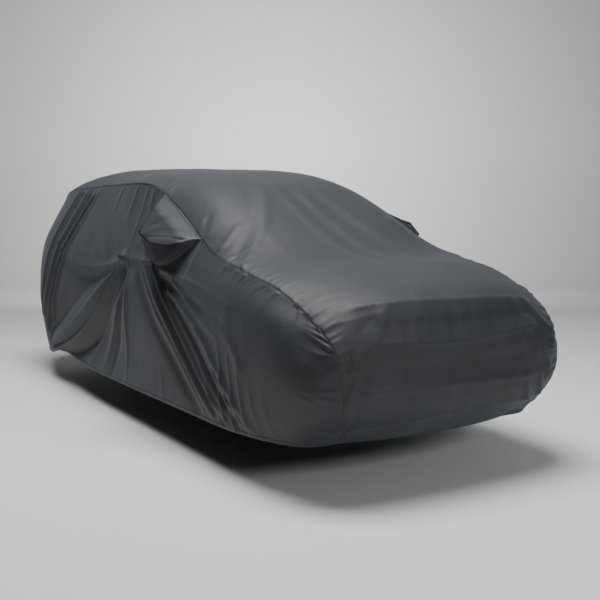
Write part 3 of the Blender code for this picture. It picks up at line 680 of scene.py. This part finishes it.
def cloth_material(name, colour, gloss=0.42, painted_shade=False):
    """Plain-woven coated polyester: fine weave, soft sheen, if asked painted shade over a mirror's tent."""
    material = bpy.data.materials.new(name)
    nodes = Nodes(material)
    shader = nodes.shader
    sheen = 0.24 * gloss
    shader.inputs["Sheen Weight"].default_value = sheen
    shader.inputs["Sheen Roughness"].default_value = 0.45
    shader.inputs["Sheen Tint"].default_value = (0.80, 0.88, 1.0, 1)
    shader.inputs["Specular IOR Level"].default_value = gloss
    place = nodes.add("ShaderNodeTexCoord")
    uv, spot = place.outputs["UV"], place.outputs["Object"]
    axes = nodes.add("ShaderNodeSeparateXYZ", Vector=spot).outputs
    weave = nodes.add(
        "ShaderNodeMath", {"operation": "MULTIPLY"}, i0=yarns(nodes, uv, "X"), i1=yarns(nodes, uv, "Y"),
    ).outputs[0]
    dark, light = shades(colour, 0.86, 1.16)
    tone = ramp(nodes, noise(nodes, spot, 2.2, 4.0, 0.6), ((0.32, dark), (0.70, light)))
    tone = multiplied(nodes, 0.22, tone, ramp(nodes, weave, ((0.0, 0.62), (0.6, 1.0))))
    # Painted shade: over the mirror's tent the colour is darkened to 0.7 and the specular and sheen turned
    # down.
    if painted_shade:
        sideways = nodes.add("ShaderNodeMath", {"operation": "ABSOLUTE"}, i0=axes["Y"]).outputs[0]
        kind = {"operation": "MULTIPLY_ADD"}
        reach = nodes.add("ShaderNodeMath", kind, i0=axes["Z"], i1=0.2, i2=sideways).outputs[0]
        tent_shade = between(nodes, reach, 0.0, 1.0, *TENT_SHADE_SPAN)
        tone = multiplied(nodes, tent_shade, tone, (0.70, 0.70, 0.70, 1))
        nodes.join(between(nodes, tent_shade, gloss, gloss * 0.30), shader.inputs["Specular IOR Level"])
        nodes.join(between(nodes, tent_shade, sheen, 0.03), shader.inputs["Sheen Weight"])
    nodes.join(tone, shader.inputs["Base Color"])
    nodes.join(between(nodes, noise(nodes, spot, 60.0, 3.0, 0.7), 0.50, 0.66), shader.inputs["Roughness"])
    creases = bump(nodes, noise(nodes, spot, 14.0, 5.0, 0.55), 0.22, 0.010)
    nose = between(nodes, axes["X"], 0.0, 0.20, *NOSE)
    hanging = nodes.add("ShaderNodeMapping", Vector=spot, Scale=(1.0, 6.5, 1.1)).outputs[0]
    drops = bump(nodes, noise(nodes, hanging, 1.0, 1.5, 0.5, 0.6), nose, 0.07, Normal=creases)
    nodes.join(bump(nodes, weave, 0.22, 0.0006, Normal=drops), shader.inputs["Normal"])
    material.diffuse_color = (*colour, 1)
    return material


def thread_material(name, colour):
    """Twisted polyester sewing thread."""
    material = bpy.data.materials.new(name)
    nodes = Nodes(material)
    shader = nodes.shader
    shader.inputs["Sheen Weight"].default_value = 0.3
    twist = noise(nodes, nodes.add("ShaderNodeTexCoord").outputs["Object"], 900.0, 2.0)
    dark, light = shades(colour, 0.75, 1.2)
    nodes.join(ramp(nodes, twist, ((0.3, dark), (0.7, light))), shader.inputs["Base Color"])
    nodes.join(between(nodes, twist, 0.45, 0.65), shader.inputs["Roughness"])
    nodes.join(bump(nodes, twist, 0.4, 0.0002), shader.inputs["Normal"])
    return material


def plain_material(name, colour, roughness):
    """Matt paint with hardly any unevenness."""
    material = bpy.data.materials.new(name)
    nodes = Nodes(material)
    uneven = noise(nodes, nodes.add("ShaderNodeTexCoord").outputs["Object"], 0.6, 3.0)
    dark, light = shades(colour, 0.985, 1.01)
    nodes.join(ramp(nodes, uneven, ((0.3, dark), (0.7, light))), nodes.shader.inputs["Base Color"])
    nodes.shader.inputs["Roughness"].default_value = roughness
    nodes.shader.inputs["Specular IOR Level"].default_value = 0.2
    return material


def made_once(name, maker, *args):
    return bpy.data.materials.get(name) or maker(name, *args)


def cloth():
    return made_once("charcoal woven polyester", cloth_material, tuple(bpy.context.scene.cover_cloth.colour))


def pocket_cloth():
    """The same cloth with painted shade over the mirror's tent: darker, and duller in shine, there."""
    colour = tuple(bpy.context.scene.cover_cloth.colour)
    return made_once("charcoal pocket polyester", cloth_material, colour, 0.42, True)


def thread():
    return made_once("charcoal sewing thread", thread_material, tuple(bpy.context.scene.cover_cloth.thread))


# ---- panels ---------------------------------------------------------------------------------------
def cut_panel(node, grid, keep, material=cloth):
    """One piece of cloth: sheet and thickness, hung on the root; the imported part of its name is hidden."""
    settings = bpy.context.scene.cover_cloth
    name = node.replace("_panel", "_cloth").replace("_pocket", "_pocket_cloth")
    obj = add_object(name, grid_mesh(node, car_to_part(grid), keep, cloth_uv(grid)), material())
    solid = obj.modifiers.new("Thickness", "SOLIDIFY")
    solid.thickness, solid.offset = settings.thickness, -1
    solid.use_even_offset = False
    bake(obj)
    finish_piece(obj)
    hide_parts(node)
    return obj


def side_keep(sections, rows):
    """Cells of a side panel, leaving out those that the mirror pocket takes."""
    first, last = (section_at(c) for c in POCKET_SECTIONS)
    s = (sections[:-1] + sections[1:]) / 2
    r = (rows[:-1] + rows[1:]) / 2
    return ~(((s > first) & (s < last))[:, None] & (r > POCKET_ROW)[None, :])


def with_stops(values, stops):
    """The samples, with the nearest one moved onto each stop."""
    values = values.copy()
    for stop in stops:
        values[np.abs(values - stop).argmin()] = stop
    return values


def pattern_samples():
    """Sections and rows that both side panels, the pockets, the seams and the hem share."""
    settings = bpy.context.scene.cover_cloth
    sections = with_stops(section_samples(settings.sections), [section_at(c) for c in POCKET_SECTIONS])
    return sections, with_stops(row_shares(settings.rows), [POCKET_ROW])


def out_of(points, side):
    return points if side < 0 else mirrored(points)


def face_the_right_way(grid, side):
    """Rows reversed on the right, so that a sheet's faces point outwards on both sides."""
    return grid[:, ::-1] if side < 0 else grid


class COVER_OT_centre(bpy.types.Operator):
    """Cut and drape the centre panel, nose to tail"""

    bl_idname = "car_cover.centre_panel"
    bl_label = "Centre Panel"

    def execute(self, context):
        settings = context.scene.cover_cloth
        sections, rows = pattern_samples()
        grid = worn_centre(sections, rows, share_columns(settings.across), settings.folds, settings.crumple)
        cut_panel("centre_panel", grid, None)
        return {"FINISHED"}


class COVER_OT_sides(bpy.types.Operator):
    """Cut and drape the two side panels"""

    bl_idname = "car_cover.side_panels"
    bl_label = "Side Panels"

    def execute(self, context):
        settings = context.scene.cover_cloth
        sections, rows = pattern_samples()
        grid = worn_side(sections, rows, settings.folds, settings.crumple)
        keep = side_keep(sections, rows)
        for node, side in (("right_side_panel", -1), ("left_side_panel", 1)):
            turned = face_the_right_way(out_of(grid, side), side)
            cut_panel(node, turned, keep[:, ::-1] if side < 0 else keep)
        return {"FINISHED"}


class COVER_OT_pockets(bpy.types.Operator):
    """Cut and sew in the two mirror pockets"""

    bl_idname = "car_cover.mirror_pockets"
    bl_label = "Mirror Pockets"

    def execute(self, context):
        settings = context.scene.cover_cloth
        first, last = (section_at(c) for c in POCKET_SECTIONS)
        sections, rows = np.linspace(first, last, 100), np.linspace(POCKET_ROW, 1, 64)
        grid = worn_side(sections, rows, settings.folds, settings.crumple)
        for node, side in (("right_mirror_pocket", -1), ("left_mirror_pocket", 1)):
            turned = face_the_right_way(out_of(grid, side), side)
            cut_panel(node, turned, None, pocket_cloth)
        return {"FINISHED"}


# ---- seams, hem and stitches ----------------------------------------------------------------------
MEETING_POINTS = 0.00002   # points closer than this are one
STITCH_SHARE = 0.68        # how much of its pitch a stitch fills
SEAM_FOOT = 0.002          # how far a seam's edge runs on past its width, ending half that deep in the cloth
HEM_THICKNESS = 0.0028     # what the turned hem's profile is in shares of
HEM_MIDDLE = -1.45         # ahead of the front axle: the hem gathers most far from here, at nose and tail


def swept(name, grid):
    """A band of cloth from a grid of points, with the points that meet joined and its faces outwards."""
    mesh = grid_mesh(name, car_to_part(grid), None, cloth_uv(grid))
    bm = bmesh.new()
    bm.from_mesh(mesh)
    bmesh.ops.remove_doubles(bm, verts=bm.verts, dist=MEETING_POINTS)
    bmesh.ops.recalc_face_normals(bm, faces=bm.faces)
    bm.to_mesh(mesh)
    bm.free()
    mesh.shade_smooth()
    return finish_piece(add_object(name, mesh, cloth()))


def strip_along(name, line, normals, profile):
    """Sweeps a profile of (sideways, out) points, one for each place, along a line on the cloth."""
    sideways = unit(np.cross(normals, unit(np.gradient(line, axis=0))))[:, None]
    outward = normals[:, None] * profile[..., 1:2]
    return swept(name, line[:, None] + sideways * profile[..., 0:1] + outward)


def worn_sheets():
    """The worn surfaces of the right side and of the centre panel."""
    settings = bpy.context.scene.cover_cloth
    sections, rows = pattern_samples()
    looks = settings.folds, settings.crumple
    side = worn_side(sections, rows, *looks)
    return side, worn_centre(sections, rows, share_columns(settings.across), *looks)


def seam_data():
    """The right seam line and the outward normals of the cloth along it."""
    side, centre = worn_sheets()
    side_out = seam_line(grid_normals(side, (0, -1, 0)))
    centre_out = grid_normals(centre, (0, 0, 1))[:, 0]
    return seam_line(side), unit(side_out + centre_out)


def hem_line():
    """The hem once round, from the right's front seam to the tail, the left and the nose."""
    side, centre = worn_sheets()
    side_out = grid_normals(side, (0, -1, 0))
    centre_out = grid_normals(centre, (0, 0, 1))
    line = np.concatenate([side[:, 0], centre[-1, 1:-1], mirrored(side[::-1, 0]), centre[0, -2:0:-1]])
    out = np.concatenate([
        side_out[:, 0], centre_out[-1, 1:-1], mirrored(side_out[::-1, 0]), centre_out[0, -2:0:-1],
    ])
    up = np.concatenate([
        unit(side[:, 1] - side[:, 0]), unit(centre[-2, 1:-1] - centre[-1, 1:-1]),
        mirrored(unit(side[::-1, 1] - side[::-1, 0])), unit(centre[1, -2:0:-1] - centre[0, -2:0:-1]),
    ])
    return line, out, up


def smoothed(values, times):
    for _ in range(times):
        values = (np.roll(values, 1, axis=0) + values + np.roll(values, -1, axis=0)) / 3
    return values


class COVER_OT_seams(bpy.types.Operator):
    """Sew the felled seams that join the centre panel to the side panels and pockets"""

    bl_idname = "car_cover.seams"
    bl_label = "Seams"

    def execute(self, context):
        settings = context.scene.cover_seams
        line, out = seam_data()
        half, rise = settings.seam_width / 2, settings.seam_rise
        draw = np.random.default_rng(3)
        run = run_along(line)
        wave = np.interp(run, np.linspace(0, run[-1], 260), draw.uniform(0.75, 1.35, 260))
        foot = half + SEAM_FOOT
        shape = np.array([
            (-foot, -SEAM_FOOT / 2), (-half, 0.35 * rise), (-half * 0.6, rise), (0, 0.82 * rise),
            (half * 0.6, rise), (half, 0.35 * rise), (foot, -SEAM_FOOT / 2),
        ])
        profile = np.repeat(shape[None], len(line), 0)
        profile[..., 1] *= wave[:, None]
        for word, side in (("right", -1), ("left", 1)):
            strip_along(f"{word}_felled_seam", out_of(line, side), out_of(out, side), profile)
        return {"FINISHED"}


class COVER_OT_hem(bpy.types.Operator):
    """Turn the hem over its elastic, with the gathers that the elastic draws in"""

    bl_idname = "car_cover.hem"
    bl_label = "Hem"

    def execute(self, context):
        settings = context.scene.cover_seams
        line, out, up = hem_line()
        out = unit(smoothed(out, 3))
        high, thick = settings.hem_height, HEM_THICKNESS
        run = run_along(line)
        draw = np.random.default_rng(8)
        gather = np.interp(run, np.linspace(0, run[-1], 700), draw.uniform(-1, 1, 700))
        ends = 0.35 + 0.65 * np.clip((np.abs(line[:, 0] - HEM_MIDDLE) - 1.5) / 0.6, 0, 1)
        bulge = 1 + 0.45 * gather * ends
        turns = (  # (share of the hem's height, share of its thickness out of the cloth)
            (1.00, 0.10), (0.97, 0.42), (0.90, 0.50), (0.55, 0.95), (0.18, 0.90), (-0.02, 0.35),
            (-0.06, -0.40), (0.02, -1.10), (0.30, -1.55), (0.75, -1.45), (1.00, -0.75), (1.00, 0.10),
        )
        plain = np.ones(len(line))
        rings = np.stack([
            line + up * (t * high) + out * (o * thick * (bulge if o > 0.5 else plain))[:, None]
            for t, o in turns
        ], axis=1)
        swept("hem_casing", np.concatenate([rings, rings[:1]]))
        return {"FINISHED"}


def stitch_tree(material):
    """Geometry nodes: a curve becomes a row of rounded stitches, each along the curve."""
    tree = bpy.data.node_groups.new("Row of stitches", "GeometryNodeTree")
    face = tree.interface
    face.new_socket("Line", in_out="INPUT", socket_type="NodeSocketGeometry")
    for name, value in (("Pitch", 0.006), ("Length", 0.004), ("Radius", 0.0006)):
        face.new_socket(name, in_out="INPUT", socket_type="NodeSocketFloat").default_value = value
    face.new_socket("Stitches", in_out="OUTPUT", socket_type="NodeSocketGeometry")

    def add(kind, mode=None, **feeds):
        node = tree.nodes.new(kind)
        if mode:
            node.mode = mode
        for name, source in feeds.items():
            tree.links.new(source, node.inputs[name])
        return node

    given = add("NodeGroupInput").outputs
    points = add("GeometryNodeCurveToPoints", "LENGTH", Curve=given["Line"], Length=given["Pitch"])
    rod = add("GeometryNodeMeshCylinder", Radius=given["Radius"], Depth=given["Length"])
    rod.inputs["Vertices"].default_value = 6
    rod.inputs["Side Segments"].default_value = 2
    spots, turns = points.outputs["Points"], points.outputs["Rotation"]
    place = add("GeometryNodeInstanceOnPoints", Points=spots, Instance=rod.outputs["Mesh"], Rotation=turns)
    real = add("GeometryNodeRealizeInstances", Geometry=place.outputs["Instances"])
    finish = add("GeometryNodeSetMaterial", Geometry=real.outputs["Geometry"])
    finish.inputs["Material"].default_value = material
    add("NodeGroupOutput", Stitches=finish.outputs["Geometry"])
    return tree


def stitch_row(name, line, closed=False):
    """A row of stitches along a line of points on the cloth."""
    settings = bpy.context.scene.cover_seams
    curve = bpy.data.curves.new(name, "CURVE")
    curve.dimensions = "3D"
    spline = curve.splines.new("POLY")
    spline.points.add(len(line) - 1)
    weights = np.ones((len(line), 1))
    spline.points.foreach_set("co", np.concatenate([car_to_part(line), weights], axis=1).ravel())
    spline.use_cyclic_u = closed
    obj = bpy.data.objects.new(name, curve)
    bpy.context.scene.collection.objects.link(obj)
    tree = bpy.data.node_groups.get("Row of stitches") or stitch_tree(thread())
    modifier = obj.modifiers.new("Stitches", "NODES")
    modifier.node_group = tree
    pitch = settings.stitch_pitch
    sizes = {"Pitch": pitch, "Length": pitch * STITCH_SHARE, "Radius": settings.stitch_radius}
    for item in tree.interface.items_tree:
        if item.in_out == "INPUT" and item.name in sizes:
            modifier[item.identifier] = sizes[item.name]
    graph = bpy.context.evaluated_depsgraph_get()
    mesh = bpy.data.meshes.new_from_object(obj.evaluated_get(graph), depsgraph=graph)
    bpy.data.objects.remove(obj)
    mesh.shade_smooth()
    made = bpy.data.objects.new(name, mesh)
    bpy.context.scene.collection.objects.link(made)
    return finish_piece(made)


class COVER_OT_stitches(bpy.types.Operator):
    """Stitch the seams with two rows each, and the hem with one"""

    bl_idname = "car_cover.stitches"
    bl_label = "Stitches"

    def execute(self, context):
        settings = context.scene.cover_seams
        line, out = seam_data()
        sideways = unit(np.cross(out, unit(np.gradient(line, axis=0))))
        for word, side in (("right", -1), ("left", 1)):
            for count, offset in enumerate((-0.3, 0.3), start=1):
                row = line + sideways * settings.seam_width * offset + out * (settings.seam_rise * 1.05)
                stitch_row(f"{word}_seam_stitches_{count}", out_of(row, side))
        hem, hem_out, up = hem_line()
        row = hem + up * settings.hem_height * 0.90 + unit(smoothed(hem_out, 3)) * 0.0018
        stitch_row("hem_stitches", row, closed=True)
        return {"FINISHED"}


# ---- stage ----------------------------------------------------------------------------------------
CAMERA_PLACE = (4.667, -3.257, 1.585)  # ahead, left, height
CAMERA_DIP = 6.711                     # degrees below level
CAMERA_TURN = 148.466                  # degrees from +X, the way it looks


def area_light(name, place, target, size, power, colour):
    light = bpy.data.lights.new(name, "AREA")
    light.shape, light.size, light.size_y = "RECTANGLE", size[0], size[1]
    light.energy, light.color = power, colour
    obj = bpy.data.objects.new(name, light)
    obj.location = place
    obj.rotation_euler = (Vector(target) - Vector(place)).to_track_quat("-Z", "Y").to_euler()
    bpy.context.scene.collection.objects.link(obj)
    return obj


class COVER_OT_stage(bpy.types.Operator):
    """Set the pale floor, the soft studio light and the camera"""

    bl_idname = "car_cover.stage"
    bl_label = "Stage"

    def execute(self, context):
        settings = context.scene.cover_stage
        ground = -SEAT_HEIGHT
        turn = math.radians(settings.turn)
        far, bend = 8.6, 2.4
        flat = [(-30.0, 0.0), (far, 0.0)]
        turns = np.linspace(0.1, math.pi / 2, 16)
        sweep = [(far + bend * math.sin(a), bend * (1 - math.cos(a))) for a in turns]
        profile = np.array(flat + sweep + [(far + bend, 14.0)])
        across = np.linspace(-30, 30, 25)
        grid = np.empty((len(across), len(profile), 3))
        grid[..., 0] = profile[None, :, 0] * math.cos(turn) - across[:, None] * math.sin(turn)
        grid[..., 1] = profile[None, :, 0] * math.sin(turn) + across[:, None] * math.cos(turn)
        grid[..., 2] = profile[None, :, 1] + ground
        pale = made_once("pale floor", plain_material, (0.74, 0.74, 0.74), 0.6)
        floor = add_object("floor", grid_mesh("floor", grid), pale)
        power = settings.light
        area_light("overhead", (1.0, -0.9, 5.3), (0.5, -0.4, 0), (4.6, 3.0), 800 * power, (1, 1, 1))
        area_light("front fill", (8.5, 0.6, 1.8), (1.5, 0.2, -0.9), (3.0, 1.6), 190 * power, (0.97, 0.985, 1))
        area_light("backdrop glow", (-4.3, 2.6, 0.7), (-9.5, 5.8, 1.2), (2.0, 1.2), 430 * power, (1, 1, 1))
        world = bpy.data.worlds.new("studio")
        world.use_nodes = True
        world.node_tree.nodes["Background"].inputs["Color"].default_value = (0.80, 0.81, 0.82, 1)
        world.node_tree.nodes["Background"].inputs["Strength"].default_value = 0.05 * power
        context.scene.world = world
        data = bpy.data.cameras.new("camera")
        data.lens, data.sensor_width, data.clip_end = settings.lens, 36, 200
        camera = bpy.data.objects.new("camera", data)
        camera.location = car_to_part(np.array(CAMERA_PLACE))
        camera.rotation_euler = (math.radians(90 - CAMERA_DIP), 0, math.radians(CAMERA_TURN - 90))
        context.scene.collection.objects.link(camera)
        context.scene.camera = camera
        return {"FINISHED"}


# ---- the add-on -----------------------------------------------------------------------------------
STEPS = (
    COVER_OT_centre, COVER_OT_sides, COVER_OT_pockets, COVER_OT_seams, COVER_OT_hem, COVER_OT_stitches,
    COVER_OT_stage,
)


class COVER_PT_panel(bpy.types.Panel):
    """Sizes and steps of the car cover"""

    bl_label = "Car Cover"
    bl_idname = "COVER_PT_panel"
    bl_space_type = "VIEW_3D"
    bl_region_type = "UI"
    bl_category = "Car Cover"

    def draw(self, context):
        for group in (context.scene.cover_cloth, context.scene.cover_seams, context.scene.cover_stage):
            box = self.layout.box()
            for name in type(group).__annotations__:
                box.prop(group, name)
        for step in STEPS:
            self.layout.operator(step.bl_idname)


GROUPS = (("cover_cloth", ClothSettings), ("cover_seams", SeamSettings), ("cover_stage", StageSettings))


def register():
    for name, group in GROUPS:
        bpy.utils.register_class(group)
        setattr(bpy.types.Scene, name, PointerProperty(type=group))
    for cls in (*STEPS, COVER_PT_panel):
        bpy.utils.register_class(cls)


def unregister():
    for cls in reversed((*STEPS, COVER_PT_panel)):
        bpy.utils.unregister_class(cls)
    for name, group in reversed(GROUPS):
        delattr(bpy.types.Scene, name)
        bpy.utils.unregister_class(group)


def main():
    register()
    for step in STEPS:
        category, name = step.bl_idname.split(".")
        getattr(getattr(bpy.ops, category), name)()


if __name__ == "__main__":
    main()
